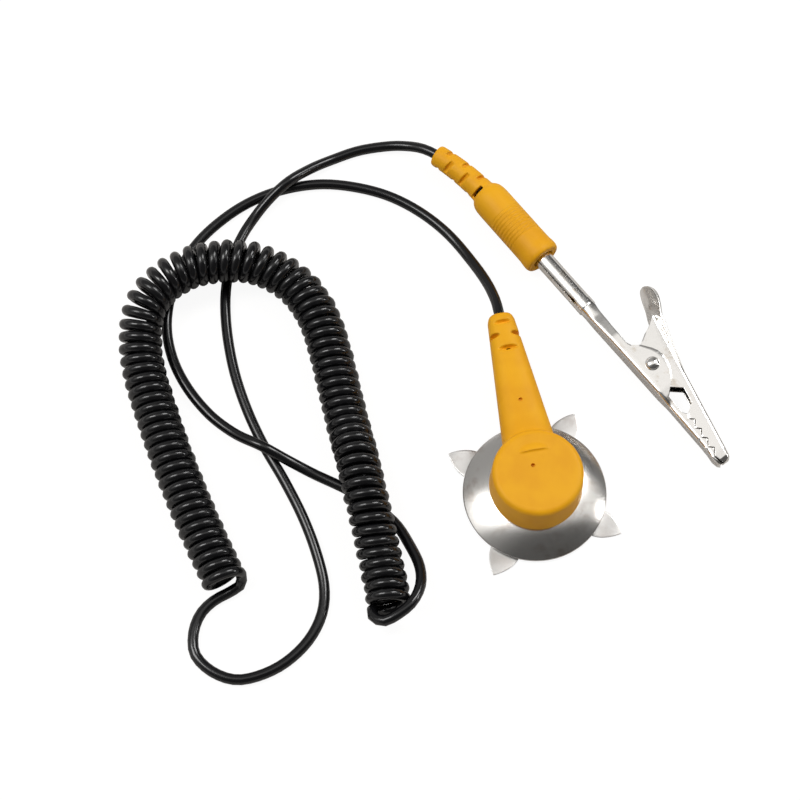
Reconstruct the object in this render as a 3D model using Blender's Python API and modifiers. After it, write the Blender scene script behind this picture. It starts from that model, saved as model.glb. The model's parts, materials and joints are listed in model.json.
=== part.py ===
"""An ESD grounding lead: a snap head on a clawed contact disc, a curly cord, and a plug with an
alligator clip. Lengths in the tables are millimetres; the model is in metres, Z up, and the table
that the lead lies on is z = 0. The tables are measured from the snap's axis; the world's origin is
below the middle of the pieces that the cord joins."""

import math

import bmesh
import bpy
from mathutils import Matrix, Vector

MM = 0.001
GAP = 0.3
SNAP_AXIS = (-9.65, -31.11, 0.0)    # seen from the world's origin

# Snap and contact disc
DISC_RADIUS = 15.0
DISC_RISE = 3.2
DISC_RIM_TOP = 1.15
SHEET = 0.4
PAD_RADIUS = 5.0
CLAW_COUNT = 4
CLAW_FIRST_DEG = 63.7
CLAW_TIP_RADIUS = 19.4
CLAW_ROOT_HALF = 2.7
CLAW_RING_RADIUS = 14.6
CLAW_RING_TOP = 0.45
STUD_BASE = DISC_RIM_TOP + DISC_RISE + GAP

# Moulded head
HEAD_RADIUS = 9.7
HEAD_BASE = 5.0
HEAD_HEIGHT = 8.8
HEAD_TOP = HEAD_BASE + HEAD_HEIGHT
HANDLE_AZIMUTH_DEG = 100.5
HANDLE_END = 38.0
CORE_NEAR = (8.0, 9.0)      # distance along the handle, height
CORE_FAR = (40.0, 7.4)

# Cord
CORD_RADIUS = 1.13
COIL_RADIUS = 4.8
BORE_RADIUS = CORD_RADIUS + 0.4
TAIL_STEP = 5.2

# Plug and clip share one axis
PLUG_MOUTH = (2.95, 52.35, 4.2)
PLUG_AZIMUTH_DEG = -52.0
CLIP_ROLL_DEG = 6.0
COLLAR_END = -34.3
BEND_START = -18.0
BEND_RATE = 0.0092
BARREL_RADIUS = 2.05
BARREL_WALL = 0.3
RIVET = (33.9, 1.95)
CHEEK_HALF = 2.6            # half the width outside the fixed jaw's cheeks
JAW_HALF = 1.8              # half the width of both jaws at the teeth
JAW_SHEET = 0.45
TOOTH_PITCH = 2.4
TOOTH_COUNT = 5
TOOTH_START = 47.8
TOOTH_DEPTH = 0.9


def clear_scene():
    for old in list(bpy.data.objects):
        bpy.data.objects.remove(old, do_unlink=True)


def new_collection(name, hidden=False):
    made = bpy.data.collections.new(name)
    made.hide_render = hidden
    bpy.context.scene.collection.children.link(made)
    return made


def material(name, color, roughness, metallic=0.0):
    made = bpy.data.materials.new(name)
    made.use_nodes = True
    shader = made.node_tree.nodes["Principled BSDF"]
    shader.inputs["Base Color"].default_value = (*color, 1.0)
    shader.inputs["Roughness"].default_value = roughness
    shader.inputs["Metallic"].default_value = metallic
    return made


clear_scene()
PARTS = new_collection("esd_grounding_lead")
CUTTERS = new_collection("cutters", hidden=True)

YELLOW = material("yellow_pvc", (0.82, 0.43, 0.015), 0.45)
BLACK = material("black_pu", (0.012, 0.012, 0.014), 0.25)
NICKEL = material("nickel_plate", (0.78, 0.76, 0.73), 0.18, 1.0)
STAINLESS = material("stainless_sheet", (0.62, 0.62, 0.62), 0.22, 1.0)
BRASS = material("brass", (0.75, 0.58, 0.28), 0.3, 1.0)
SPRING = material("spring_steel", (0.45, 0.45, 0.46), 0.3, 1.0)
RESISTOR = material("resistor_lacquer", (0.30, 0.45, 0.55), 0.4)
TINNED = material("tinned_copper", (0.7, 0.68, 0.66), 0.3, 1.0)


def frame_empty(name, location, rotation=(0.0, 0.0, 0.0), parent=None):
    """An unrendered frame that a group of pieces is placed in; location in millimetres."""
    made = bpy.data.objects.new(name, None)
    PARTS.objects.link(made)
    made.parent = parent
    made.location = Vector(location) * MM
    made.rotation_euler = rotation
    return made


LEAD_FRAME = frame_empty("lead_frame", SNAP_AXIS)


def add_object(name, data, finish, parent=None, location=(0, 0, 0), rotation=(0, 0, 0)):
    """Links data as a part, or as a cutter when finish is None; location in millimetres."""
    made = bpy.data.objects.new(name, data)
    made.parent = parent or LEAD_FRAME
    made.location = Vector(location) * MM
    made.rotation_euler = rotation
    if finish is None:
        CUTTERS.objects.link(made)
        made.hide_render = True
        made.display_type = "WIRE"
    else:
        PARTS.objects.link(made)
        data.materials.append(finish)
    return made


def turned(name, profile, finish, parent=None, location=(0, 0, 0), rotation=(0, 0, 0), steps=32):
    """Turns (radius, height) points about local Z. The points run clockwise: out along the top,
    down the outer side and back in; a profile that keeps off the axis is a closed loop."""
    mesh = bpy.data.meshes.new(name)
    points = [(radius * MM, 0.0, height * MM) for radius, height in profile]
    edges = [(i, i + 1) for i in range(len(points) - 1)]
    if profile[0][0] > 0 or profile[-1][0] > 0:
        edges.append((len(points) - 1, 0))
    mesh.from_pydata(points, edges, [])
    made = add_object(name, mesh, finish, parent, location, rotation)
    screw = made.modifiers.new("turn", "SCREW")
    screw.axis = "Z"
    screw.steps = steps
    screw.render_steps = steps
    screw.use_merge_vertices = True
    screw.merge_threshold = 0.00001
    screw.use_smooth_shade = True
    return made


def prism(name, outline, low, high, finish, parent=None, location=(0, 0, 0), rotation=(0, 0, 0)):
    """A flat outline in local XY, from low to high along local Z."""
    curve = bpy.data.curves.new(name, "CURVE")
    curve.dimensions = "2D"
    curve.fill_mode = "BOTH"
    curve.extrude = (high - low) / 2 * MM
    spline = curve.splines.new("POLY")
    spline.points.add(len(outline) - 1)
    spline.use_cyclic_u = True
    for point, (x, y) in zip(spline.points, outline):
        point.co = (x * MM, y * MM, 0.0, 1.0)
    made = add_object(name, curve, finish, parent)
    middle = Matrix.Translation((0, 0, (low + high) / 2 * MM))
    return as_mesh(made, finish, parent, location, rotation, middle)


def tube(name, points, radius, finish, parent=None, radii=None, resolution=2, mesh=False):
    """A round wire, cord or moulding through the points (millimetres), with filled ends."""
    curve = bpy.data.curves.new(name, "CURVE")
    curve.dimensions = "3D"
    curve.bevel_depth = radius * MM
    curve.bevel_resolution = resolution
    curve.use_fill_caps = True
    spline = curve.splines.new("POLY")
    spline.points.add(len(points) - 1)
    for i, (x, y, z) in enumerate(points):
        spline.points[i].co = (x * MM, y * MM, z * MM, 1.0)
        if radii:
            spline.points[i].radius = radii[i] / radius
    made = add_object(name, curve, finish, parent)
    if mesh or finish is None:
        return as_mesh(made, finish, parent)
    return made


def as_mesh(obj, finish, parent=None, location=(0, 0, 0), rotation=(0, 0, 0), shift=None):
    """Replaces a curve object by its mesh with welded caps, moved by shift in its own frame."""
    name = obj.name
    obj.parent = None
    bpy.context.view_layer.update()
    graph = bpy.context.evaluated_depsgraph_get()
    mesh = bpy.data.meshes.new_from_object(obj.evaluated_get(graph))
    curve = obj.data
    bpy.data.objects.remove(obj, do_unlink=True)
    bpy.data.curves.remove(curve)
    shape = bmesh.new()
    shape.from_mesh(mesh)
    bmesh.ops.remove_doubles(shape, verts=shape.verts, dist=0.000001)
    if shift:
        shape.transform(shift)
    bmesh.ops.recalc_face_normals(shape, faces=shape.faces)
    shape.to_mesh(mesh)
    shape.free()
    mesh.materials.clear()
    mesh.name = name
    return add_object(name, mesh, finish, parent, location, rotation)


def box_cutter(name, low, high, parent=None, rotation=(0, 0, 0)):
    size = [(b - a) * MM for a, b in zip(low, high)]
    middle = [(a + b) / 2 * MM for a, b in zip(low, high)]
    shape = bmesh.new()
    bmesh.ops.create_cube(shape, size=1.0)
    shape.transform(Matrix.Translation(middle) @ Matrix.Diagonal((*size, 1.0)))
    mesh = bpy.data.meshes.new(name)
    shape.to_mesh(mesh)
    shape.free()
    return add_object(name, mesh, None, parent, rotation=rotation)


def rod_cutter(name, start, end, radius, parent=None, sides=24):
    """A cylinder between two points in millimetres."""
    start, end = Vector(start), Vector(end)
    along = end - start
    shape = bmesh.new()
    bmesh.ops.create_cone(shape, cap_ends=True, segments=sides, radius1=radius * MM,
                          radius2=radius * MM, depth=along.length * MM)
    turn = along.to_track_quat("Z", "Y").to_matrix().to_4x4()
    shape.transform(Matrix.Translation((start + end) / 2 * MM) @ turn)
    mesh = bpy.data.meshes.new(name)
    shape.to_mesh(mesh)
    shape.free()
    return add_object(name, mesh, None, parent)


def combine(obj, others, operation):
    for other in others:
        step = obj.modifiers.new(other.name, "BOOLEAN")
        step.operation = operation
        step.solver = "EXACT"
        step.object = other


def smooth_route(route, step=TAIL_STEP):
    """Evenly spaced points on the Catmull-Rom curve through the route's points, above the table."""
    points = [Vector(p) for p in route]
    ends = [2 * points[0] - points[1]] + points + [2 * points[-1] - points[-2]]
    fine = []
    for a, b, c, d in zip(ends, ends[1:], ends[2:], ends[3:]):
        for k in range(12):
            t = k / 12
            fine.append(0.5 * (2 * b + (c - a) * t + (2 * a - 5 * b + 4 * c - d) * t * t
                               + (3 * b - a - 3 * c + d) * t ** 3))
    fine.append(points[-1])
    lengths = [0.0]
    for a, b in zip(fine, fine[1:]):
        lengths.append(lengths[-1] + (b - a).length)
    count = max(2, round(lengths[-1] / step))
    result, at = [], 0
    for i in range(count + 1):
        wanted = lengths[-1] * i / count
        while at < len(fine) - 2 and lengths[at + 1] < wanted:
            at += 1
        span = lengths[at + 1] - lengths[at]
        point = fine[at].lerp(fine[at + 1], (wanted - lengths[at]) / span)
        point.z = max(point.z, CORD_RADIUS)
        result.append(point)
    return result


# ---- Contact disc group, on the snap's axis ----

def dome(radius, top, rim_radius):
    """Height of a dished sheet's upper side, flat within the pad."""
    outward = max(0.0, radius - PAD_RADIUS) / (rim_radius - PAD_RADIUS)
    return top + DISC_RISE * (1 - outward ** 2)


def dished_profile(hole, radii, top, rim_radius, rim=()):
    upper = [(hole, dome(hole, top, rim_radius))]
    upper += [(radius, dome(radius, top, rim_radius)) for radius in radii]
    upper += list(rim)
    lower = [(radius, height - SHEET) for radius, height in reversed(upper)]
    return upper + lower


def make_disc_group():
    turned("contact_disc", dished_profile(2.5, (5, 7.5, 10, 12.5, DISC_RADIUS), DISC_RIM_TOP, DISC_RADIUS),
           STAINLESS, steps=44)

    flat_from = 13.2
    ring = turned("claw_plate",
                  dished_profile(2.5, (5, 7.5, 10, 12, flat_from), CLAW_RING_TOP, flat_from,
                                 rim=[(CLAW_RING_RADIUS, CLAW_RING_TOP)]),
                  STAINLESS, steps=40)
    claws = []
    root, swell = 13.5, 14.3
    reach = CLAW_TIP_RADIUS - swell
    side = [(swell + reach * t, CLAW_ROOT_HALF * (1 - t ** 1.7)) for t in (0.0, 0.2, 0.4, 0.6, 0.8, 0.93)]
    outline = [(root, -CLAW_ROOT_HALF)] + [(u, -v) for u, v in side]
    outline += [(CLAW_TIP_RADIUS, 0.0)] + list(reversed(side)) + [(root, CLAW_ROOT_HALF)]
    for i in range(CLAW_COUNT):
        turn = math.radians(CLAW_FIRST_DEG + 360 / CLAW_COUNT * i)
        claws.append(prism(f"claw_{i}", outline, 0.0, SHEET, None, rotation=(0, 0, turn)))
    combine(ring, claws, "UNION")

    base = STUD_BASE
    turned("snap_stud",
           [(0, base + 3.85), (3.6, base + 3.85), (4.6, base + 3.35), (4.95, base + 2.55),
            (4.35, base + 1.5), (4.35, base + 0.6), (5.2, base + SHEET), (5.2, base),
            (2.25, base), (2.25, base + SHEET), (3.9, base + SHEET), (3.9, base + 1.6),
            (4.4, base + 2.6), (3.5, base + 3.4), (0, base + 3.4)],
           NICKEL, steps=30)
    turned("stud_eyelet",
           [(1.6, 5.7), (3.0, 5.7), (3.0, 5.4), (2.0, 5.4), (2.0, 2.9), (4.2, 2.9), (4.2, 2.5), (1.6, 2.5)],
           BRASS, steps=24)


# ---- Moulded head and what it holds ----

def handle_section(distance):
    """Half width, half height and middle height of the handle at a distance from the snap's axis."""
    along = (distance - CORE_NEAR[0]) / (CORE_FAR[0] - CORE_NEAR[0])
    middle = CORE_NEAR[1] + along * (CORE_FAR[1] - CORE_NEAR[1])
    half_width = 5.5 - 2.9 * along
    half_height = 3.7 - 1.1 * along
    return half_width, half_height, middle


def make_handle(parent):
    """A loft of rounded sections along local X, closed at both ends."""
    stations = [(5.0, 1.0), (12.0, 1.0), (20.0, 1.0), (28.0, 1.0), (34.0, 1.0), (36.6, 1.0),
                (37.6, 0.88), (HANDLE_END, 0.66)]
    sides = 24
    shape = bmesh.new()
    rings = []
    for distance, shrink in stations:
        half_width, half_height, middle = handle_section(distance)
        ring = []
        for k in range(sides):
            angle = 2 * math.pi * k / sides
            c, s = math.cos(angle), math.sin(angle)
            y = math.copysign(abs(c) ** 0.8, c) * half_width * shrink
            z = math.copysign(abs(s) ** 0.8, s) * half_height * shrink + middle
            ring.append(shape.verts.new((distance * MM, y * MM, z * MM)))
        rings.append(ring)
    for near, far in zip(rings, rings[1:]):
        for k in range(sides):
            shape.faces.new((near[k], near[k - 1], far[k - 1], far[k]))
    shape.faces.new(rings[0])
    shape.faces.new(list(reversed(rings[-1])))
    bmesh.ops.recalc_face_normals(shape, faces=shape.faces)
    mesh = bpy.data.meshes.new("handle")
    shape.to_mesh(mesh)
    shape.free()
    return add_object("handle", mesh, None, parent)


def make_head_group():
    head_frame = frame_empty("head_frame", (0, 0, 0), (0, 0, math.radians(HANDLE_AZIMUTH_DEG)), LEAD_FRAME)
    rise = CORE_FAR[1] - CORE_NEAR[1]
    run = CORE_FAR[0] - CORE_NEAR[0]
    pitch = -math.atan2(rise, run)
    core_frame = frame_empty("core_frame", (CORE_NEAR[0], 0, CORE_NEAR[1]), (0, pitch, 0), head_frame)

    head = turned("head_overmould",
                  [(0, HEAD_TOP), (7.9, HEAD_TOP), (8.9, HEAD_TOP - 0.4), (9.4, HEAD_TOP - 1.4),
                   (HEAD_RADIUS, HEAD_BASE + 0.5), (HEAD_RADIUS - 0.3, HEAD_BASE), (0, HEAD_BASE)],
                  YELLOW, head_frame, steps=44)
    combine(head, [make_handle(head_frame)], "UNION")
    recess = turned("snap_recess", [(0, 9.55), (7.2, 9.55), (7.2, 3.0), (0, 3.0)], None, head_frame)
    tab_slot = box_cutter("tab_slot", (-3.2, -2.7, 9.2), (10.6, 2.7, 10.8), head_frame)
    pocket = rod_cutter("core_pocket", (-2.0, 0, 0), (21.6, 0, 0), 1.75, core_frame, sides=20)
    bore = rod_cutter("cord_bore", (20.0, 0, 0), (34.0, 0, 0), BORE_RADIUS, core_frame, sides=20)
    holes = [rod_cutter(f"pinhole_{i}", (x, 0, bottom), (x, 0, bottom + 2), 0.38, head_frame, 10)
             for i, (x, bottom) in enumerate(((1.3, HEAD_TOP - 0.7), (18.4, 11.4)))]
    combine(head, [recess, tab_slot, pocket, bore] + holes, "DIFFERENCE")
    slots = []
    for i, station in enumerate((27.4, 24.6, 21.2)):
        for side in (-1, 1):
            low, high = (-1.7, 1.7), sorted((side * 2.0, side * 5.0))
            across, up = (high, low) if i == 1 else (low, high)
            slots.append(box_cutter(f"relief_slot_{i}_{side}", (station - 0.45, across[0], up[0]),
                                    (station + 0.45, across[1], up[1]), core_frame))
    combine(head, slots, "DIFFERENCE")

    turned("socket_cup",
           [(0, 10.45), (1.1, 10.45), (1.1, 9.25), (6.9, 9.25), (6.9, HEAD_BASE), (5.55, HEAD_BASE),
            (5.55, 5.45), (6.1, 5.45), (6.1, 6.75), (5.4, 6.75), (5.4, 8.85), (0, 8.85)],
           NICKEL, head_frame, steps=30)
    opening, turns = math.radians(40), 22
    arc = [math.pi + opening / 2 + (2 * math.pi - opening) * i / turns for i in range(turns + 1)]
    ring = [(5.25 * math.cos(a), 5.25 * math.sin(a), 6.1) for a in arc]
    tube("snap_ring_spring", ring, 0.4, SPRING, head_frame)

    strip = [(2.3 * math.cos(a), 2.3 * math.sin(a)) for a in
             (math.radians(30 + 300 * i / 12) for i in range(13))]
    strip += [(4.0, -0.9), (9.6, -0.9), (9.6, 0.9), (4.0, 0.9)]
    tab = prism("solder_tab", strip, 9.55, 9.9, TINNED, head_frame)
    combine(tab, [rod_cutter("tab_hole", (0, 0, 9), (0, 0, 11), 1.4, head_frame, 16)], "DIFFERENCE")

    def on_core(name, profile, finish, steps=14):
        """A turned piece along the handle's core: profile heights are distances along it."""
        return turned(name, profile, finish, core_frame, rotation=(0, math.pi / 2, 0), steps=steps)

    def rod(start, end, radius):
        return [(0, end), (radius, end), (radius, start), (0, start)]

    on_core("resistor_lead_tab_side", rod(1.2, 5.2, 0.3), TINNED, steps=10)
    on_core("resistor_body",
            [(0, 12.0), (0.9, 12.0), (1.2, 11.6), (1.2, 10.4), (1.05, 10.0), (1.05, 7.6),
             (1.2, 7.2), (1.2, 5.9), (0.9, 5.5), (0, 5.5)], RESISTOR, steps=20)
    on_core("resistor_lead_cord_side", rod(12.3, 16.6, 0.3), TINNED, steps=10)
    on_core("head_crimp_sleeve",
            [(0.65, 20.8), (1.1, 20.8), (1.1, 15.4), (0.65, 15.4)], TINNED, steps=16)
    on_core("head_conductor", rod(16.9, 21.6, 0.32), BRASS, steps=10)
    return core_frame


# ---- Cord ----

HEAD_TAIL_ROUTE = [
    (-7.8, 41.9, 6.3), (-9.5, 47.0, 4.1), (-12.6, 53.0, 2.0), (-17.3, 59.6, 1.06), (-23.7, 65.3, 1.06),
    (-31.0, 69.4, 1.06), (-39.0, 71.6, 1.06), (-46.5, 72.1, 1.06), (-54.5, 70.6, 1.06),
    (-61.5, 67.5, 1.06), (-67.5, 63.0, 1.06), (-72.5, 57.5, 1.06), (-76.0, 51.0, 1.06),
    (-77.9, 44.0, 1.06), (-78.2, 37.0, 1.06), (-76.6, 30.0, 1.06), (-73.3, 23.5, 1.06),
    (-68.5, 17.5, 1.1), (-62.8, 12.7, 2.1), (-57.0, 9.2, 4.05), (-51.2, 6.5, 2.1), (-45.5, 3.7, 1.1),
    (-39.0, 0.5, 1.06), (-33.5, -3.0, 1.06), (-29.0, -7.0, 1.3), (-26.1, -12.0, 2.4),
    (-24.1, -17.0, 4.1), (-23.9, -21.6, 5.9), (-25.6, -25.6, 7.0), (-28.6, -28.2, 7.0),
    (-31.4, -29.4, 6.4), (-33.5, -28.1, 5.4), (-34.1, -25.2, 4.8),
]
PLUG_TAIL_ROUTE = [
    (-22.9, 79.6, 3.7), (-26.0, 80.9, 2.5), (-30.5, 81.5, 1.5), (-37.0, 80.6, 1.1),
    (-43.3, 78.1, 1.3), (-48.0, 75.1, 2.65), (-52.6, 71.2, 4.2), (-56.8, 67.6, 2.75),
    (-60.3, 63.5, 1.2), (-63.0, 58.5, 1.06),
    (-65.0, 52.5, 1.06), (-65.8, 46.0, 1.06), (-65.6, 39.5, 1.06), (-64.6, 32.5, 1.06),
    (-62.9, 25.4, 1.06), (-60.2, 17.8, 1.06), (-56.7, 10.3, 1.06), (-52.3, 2.6, 1.06),
    (-48.3, -5.4, 1.06), (-45.3, -13.4, 1.06), (-43.6, -20.8, 1.06), (-44.2, -27.0, 1.06),
    (-47.4, -32.9, 1.06), (-53.0, -37.7, 1.06), (-60.0, -40.1, 1.06), (-65.4, -38.8, 1.06),
    (-69.0, -35.2, 1.06), (-70.1, -30.8, 1.1), (-68.5, -27.2, 1.3), (-66.2, -24.4, 1.5),
    (-64.9, -21.6, 1.7),
]
COIL_AXIS = [
    (-64.4, -20.0, 4.8), (-69.9, -7.4, 4.8), (-75.4, 5.8, 4.8), (-80.2, 19.2, 4.8), (-82.5, 27.0, 4.9),
    (-83.2, 33.5, 5.9), (-82.3, 39.7, 7.15), (-79.0, 44.8, 7.35), (-73.5, 48.6, 7.35), (-67.0, 50.2, 7.35),
    (-60.5, 50.2, 7.05), (-55.0, 48.6, 5.9), (-49.8, 45.0, 4.9), (-45.6, 38.5, 4.8), (-42.9, 30.2, 4.8),
    (-40.3, 19.2, 4.8), (-38.6, 12.0, 5.3), (-36.9, 5.1, 6.95), (-35.4, -1.7, 7.35), (-33.8, -8.3, 6.7),
    (-32.4, -14.2, 5.2), (-31.3, -19.2, 4.8), (-30.4, -23.6, 4.8),
]


def make_cord(head_core):
    bpy.context.view_layer.update()
    core = LEAD_FRAME.matrix_world.inverted() @ head_core.matrix_world
    inside = [core @ (Vector((x, 0, 0)) * MM) / MM for x in (21.9, 26.5, 31.2)]
    tube("cord_tail_head", smooth_route(inside + HEAD_TAIL_ROUTE), CORD_RADIUS, BLACK)
    tube("curly_cord", smooth_route(COIL_AXIS, step=5.6), COIL_RADIUS, BLACK, resolution=3)
    start = [plug_point(x) for x in (-21.8, -26.0, -30.2, COLLAR_END)]
    tube("cord_tail_plug", smooth_route(start + PLUG_TAIL_ROUTE), CORD_RADIUS, BLACK)


# ---- Plug ----

def bent(x):
    """The plug's middle line: straight to the bend's start, then a shallow parabola."""
    return (x, -BEND_RATE * min(0.0, x - BEND_START) ** 2, 0.0)


def plug_point(x):
    """A point of the plug's middle line in the lead's frame, in millimetres."""
    turn = Matrix.Rotation(math.radians(PLUG_AZIMUTH_DEG), 3, "Z")
    return turn @ Vector(bent(x)) + Vector(PLUG_MOUTH)


def make_plug_group():
    plug_frame = frame_empty("plug_frame", PLUG_MOUTH, (0, 0, math.radians(PLUG_AZIMUTH_DEG)), LEAD_FRAME)
    stations = [(COLLAR_END, 2.1), (COLLAR_END + 0.4, 2.45), (-31.0, 2.5), (-27.0, 2.6), (-23.0, 2.7),
                (-20.6, 2.75), (-19.8, 3.5), (-18.6, 3.95), (-17.0, 4.05), (-12.0, 4.05), (-6.0, 4.05),
                (-2.5, 4.05), (-1.4, 4.2), (-0.5, 4.05), (0.0, 3.6)]
    mould = tube("plug_overmould", [bent(x) for x, _ in stations], 4.0, YELLOW, plug_frame,
                 radii=[radius for _, radius in stations], resolution=8, mesh=True)
    mouth = rod_cutter("plug_mouth", (-3.4, 0, 0), (2, 0, 0), 2.8, plug_frame)
    cavity = rod_cutter("pin_cavity", (-21.3, 0, 0), (-3.0, 0, 0), 2.35, plug_frame)
    bore = tube("plug_cord_bore", [bent(x) for x in (-36.0, -33.0, -30.0, -27.0, -24.0, -20.5)],
                BORE_RADIUS, None, plug_frame, resolution=3)
    combine(mould, [mouth, cavity, bore], "DIFFERENCE")
    slots = []
    for i in range(6):
        station = -31.8 + 2.2 * i
        x, y, _ = bent(station)
        for half_turn in (0, math.pi):
            turn = math.radians(45 if i % 2 else 135) + half_turn
            slot = box_cutter(f"plug_slot_{i}_{half_turn > 1}", (-0.4, -1.6, 1.75), (0.4, 1.6, 4.0),
                              plug_frame, rotation=(turn, 0, 0))
            slot.location = Vector((x, y, 0)) * MM
            slots.append(slot)
    combine(mould, slots, "DIFFERENCE")

    def on_axis(name, profile, finish, steps=20):
        return turned(name, profile, finish, plug_frame, rotation=(0, math.pi / 2, 0), steps=steps)

    on_axis("plug_pin",
            [(0, 15.6), (0.7, 15.6), (1.25, 14.9), (1.25, 14.1), (0.75, 13.8), (0.75, -2.5),
             (2.0, -2.9), (2.0, -14.0), (0, -14.0)], NICKEL)
    on_axis("plug_ferrule", [(0.75, -14.3), (1.7, -14.3), (1.7, -20.8), (0.75, -20.8)], TINNED, steps=18)
    on_axis("plug_conductor", [(0, -14.5), (0.4, -14.5), (0.4, -21.4), (0, -21.4)], BRASS, steps=10)
    cage = on_axis("lantern_spring",
                   [(1.05, 13.5), (1.25, 13.5), (1.3, 11.5), (1.5, 8.5), (1.5, 5.5), (1.3, 2.0), (1.25, 0.2),
                    (1.05, 0.2), (1.1, 2.0), (1.28, 5.5), (1.28, 8.5), (1.1, 11.5)], BRASS, steps=24)
    windows = [box_cutter(f"cage_window_{i}", (2.6, -0.3, -3.0), (11.2, 0.3, 3.0), plug_frame,
                          rotation=(math.pi / 2 * i + math.pi / 4, 0, 0)) for i in range(2)]
    combine(cage, windows, "DIFFERENCE")
    return plug_frame


# ---- Alligator clip: local X along the clip, Y towards the moving jaw, Z along the rivet ----

def tooth_line(offset):
    """Sawtooth points from the rearmost tooth to the nose; offset lifts the whole line."""
    points = []
    for i in range(TOOTH_COUNT):
        x = TOOTH_START + TOOTH_PITCH * i
        middle = 0.35 - 0.133 * (x - TOOTH_START) + offset
        points.append((x, middle - TOOTH_DEPTH / 2))
        if i < TOOTH_COUNT - 1:
            points.append((x + 0.4 * TOOTH_PITCH, middle + TOOTH_DEPTH / 2))
    return points


def make_fixed_jaw(frame):
    barrel = turned("clip_fixed_jaw",
                    [(BARREL_RADIUS - BARREL_WALL, 16.0), (BARREL_RADIUS, 16.0), (BARREL_RADIUS, -2.6),
                     (BARREL_RADIUS - BARREL_WALL, -2.6)],
                    NICKEL, frame, rotation=(0, math.pi / 2, 0), steps=28)
    seam = box_cutter("barrel_seam", (-4, -2.6, 1.15), (12.5, -1.0, 1.6), frame)
    combine(barrel, [seam], "DIFFERENCE")
    cheek = [(13.2, -1.6), (24.0, -1.5), (42.2, -1.43), (41.3, -0.25), (40.7, 0.75), (38.9, 3.0),
             (36.9, 4.3), (33.7, 4.9), (31.2, 4.2), (29.1, 2.75), (27.9, 1.2), (26.8, 0.75),
             (21.8, 0.9), (19.2, 1.1), (17.9, 1.45), (16.0, 2.0), (13.2, 2.0)]
    rear = prism("jaw_rear", cheek, -CHEEK_HALF, CHEEK_HALF, None, frame)
    nose = [(40.4, -1.45), (55.0, -1.6), (57.6, -1.85), (59.0, -1.7), (59.4, -1.35), (59.2, -1.0)]
    front_outline = nose + list(reversed(tooth_line(0.0)))
    front_outline += [(46.9, 0.55), (45.9, -0.1), (41.2, 0.0), (40.4, 0.0)]
    front = prism("jaw_front", front_outline, -JAW_HALF, JAW_HALF, None, frame)
    combine(barrel, [rear, front], "UNION")
    floor = -1.45 + JAW_SHEET
    inner = CHEEK_HALF - JAW_SHEET
    rear_hollow = box_cutter("rear_hollow", (16.4, floor, -inner), (41.6, 8.0, inner), frame)
    inner = JAW_HALF - JAW_SHEET
    front_hollow = box_cutter("front_hollow", (41.0, floor + 0.03, -inner), (55.4, 8.0, inner), frame)
    bore = rod_cutter("barrel_bore", (-4, 0, 0), (17, 0, 0), BARREL_RADIUS - BARREL_WALL, frame, 28)
    hole = rod_cutter("fixed_rivet_hole", (*RIVET, -5), (*RIVET, 5), 1.3, frame, 20)
    combine(barrel, [rear_hollow, front_hollow, bore, hole], "DIFFERENCE")


def thumb_plate(hinge):
    """The back of the jaw widening into a dished oval tab. Each station is a point of its middle
    line, half the width, the twist in degrees that leans its upper edge out, and the dish's depth."""
    stations = [(39.0, 6.13, 1.5, 0, 0), (36.5, 6.75, 2.1, 5, 0), (32.0, 7.85, 2.9, 12, 0),
                (28.5, 8.7, 3.5, 16, 0.1), (26.0, 9.3, 3.8, 17, 0.3), (24.2, 9.95, 4.0, 18, 0.6),
                (22.5, 10.55, 4.05, 18, 0.9), (21.1, 11.05, 3.7, 18, 0.8), (19.9, 11.45, 2.8, 18, 0.5),
                (19.15, 11.7, 1.7, 18, 0.2), (18.85, 11.8, 0.7, 18, 0.05)]
    across = [-1.0, -0.5, 0.0, 0.5, 1.0]
    shape = bmesh.new()
    rings = []
    for i, (x, y, half, twist, dish) in enumerate(stations):
        before, after = stations[max(i - 1, 0)], stations[min(i + 1, len(stations) - 1)]
        along = Vector((after[0] - before[0], after[1] - before[1], 0)).normalized()
        outward = Matrix.Rotation(math.radians(twist), 3, along) @ Vector((0, 0, 1)).cross(along)
        if outward.y < 0:
            outward = -outward
        width = outward.cross(along)
        middle = Vector((x - RIVET[0], y - RIVET[1], 0))
        ring = []
        for side, order in ((0.25, across), (-0.25, reversed(across))):
            for t in order:
                point = middle + width * t * half + outward * (dish * t * t + side)
                ring.append(shape.verts.new(point * MM))
        rings.append(ring)
    for near, far in zip(rings, rings[1:]):
        for k in range(len(near)):
            shape.faces.new((near[k], near[k - 1], far[k - 1], far[k]))
    shape.faces.new(rings[0])
    shape.faces.new(list(reversed(rings[-1])))
    bmesh.ops.recalc_face_normals(shape, faces=shape.faces)
    mesh = bpy.data.meshes.new("thumb_plate")
    shape.to_mesh(mesh)
    shape.free()
    return add_object("thumb_plate", mesh, None, hinge)


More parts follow.
